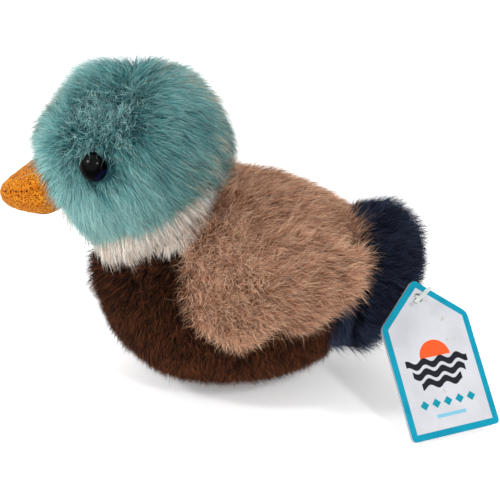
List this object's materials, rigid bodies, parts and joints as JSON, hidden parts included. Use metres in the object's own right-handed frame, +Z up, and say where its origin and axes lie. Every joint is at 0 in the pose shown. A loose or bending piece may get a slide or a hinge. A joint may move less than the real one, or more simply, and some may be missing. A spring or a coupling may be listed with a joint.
{
  "type": "plush duck",
  "caption": "Palm-size stuffed plush duck that sits on a flat weighted base, with flap wings, glossy safety eyes, a suede beak and a folded swing tag.",
  "frame": {"origin": "on the flat underside that the duck sits on", "axes": "+Z up, the beak points to -X, the duck's left side is at -Y"},
  "size_m": [0.1583, 0.0957, 0.1075],
  "materials": {
    "teal_plush": "long silky pile, greyed tips",
    "cream_plush": "soft combed pile",
    "brown_plush": "dense short pile",
    "tan_plush": "long combed pile with pale tips",
    "navy_plush": "dense pile with blue-grey tips",
    "orange_suede": "short napped suedette",
    "wing_lining": "short pile lining",
    "fibre_fill": "loose white fibre",
    "beans": "small plastic beads in a bag",
    "eye_plastic": "glossy black",
    "washer_plastic": "plain moulded",
    "clear_nylon": "milky translucent",
    "tag_card": "coated card with a cyan border"
  },
  "bodies": {
    "duck": {"breast_panel_left": "brown_plush", "breast_panel_right": "brown_plush", "base_panel": "brown_plush", "back_panel": "tan_plush", "neck_band": "cream_plush", "head_panel_left": "teal_plush", "head_panel_right": "teal_plush", "head_gusset": "teal_plush", "beak_upper": "orange_suede", "beak_lower": "orange_suede", "beak_stuffing": "fibre_fill", "eye_left": "eye_plastic", "eye_right": "eye_plastic", "eye_washer_left": "washer_plastic", "eye_washer_right": "washer_plastic", "tail_panel_upper": "navy_plush", "tail_panel_lower": "navy_plush", "tail_stuffing": "fibre_fill", "body_stuffing": "fibre_fill", "head_stuffing": "fibre_fill", "bean_bag": "beans"},
    "wing_left": {"wing_left_outer": "tan_plush", "wing_left_lining": "wing_lining", "wing_left_wadding": "fibre_fill"},
    "wing_right": {"wing_right_outer": "tan_plush", "wing_right_lining": "wing_lining", "wing_right_wadding": "fibre_fill"},
    "fastener": {"tag_fastener": "clear_nylon"},
    "tag": {"tag_back_leaf": "tag_card"},
    "tag_cover": {"tag_front_leaf": "tag_card"}
  },
  "joints": [
    {"name": "wing_left_lift", "type": "hinge", "parent": "duck", "child": "wing_left", "pos_m": [0.002, -0.0269, 0.063], "axis": [-0.9895, -0.0054, 0.1443], "range_deg": [0, 70]},
    {"name": "wing_right_lift", "type": "hinge", "parent": "duck", "child": "wing_right", "pos_m": [0.002, 0.0269, 0.063], "axis": [0.9895, -0.0054, -0.1443], "range_deg": [0, 70]},
    {"name": "tag_turn", "type": "hinge", "parent": "duck", "child": "fastener", "pos_m": [0.0635, -0.01653, 0.03303], "axis": [-0.3827, 0.9239, 0], "range_deg": [-40, 20]},
    {"name": "tag_tip", "type": "hinge", "parent": "fastener", "child": "tag", "pos_m": [0.0646, -0.01917, 0.0353], "axis": [-0.9239, -0.3827, 0], "range_deg": [0, 20]},
    {"name": "tag_cover_fold", "type": "hinge", "parent": "tag", "child": "tag_cover", "pos_m": [0.05059, -0.02455, 0.03499], "axis": [0.2382, -0.5751, -0.7826], "range_deg": [0, 4]}
  ]
}
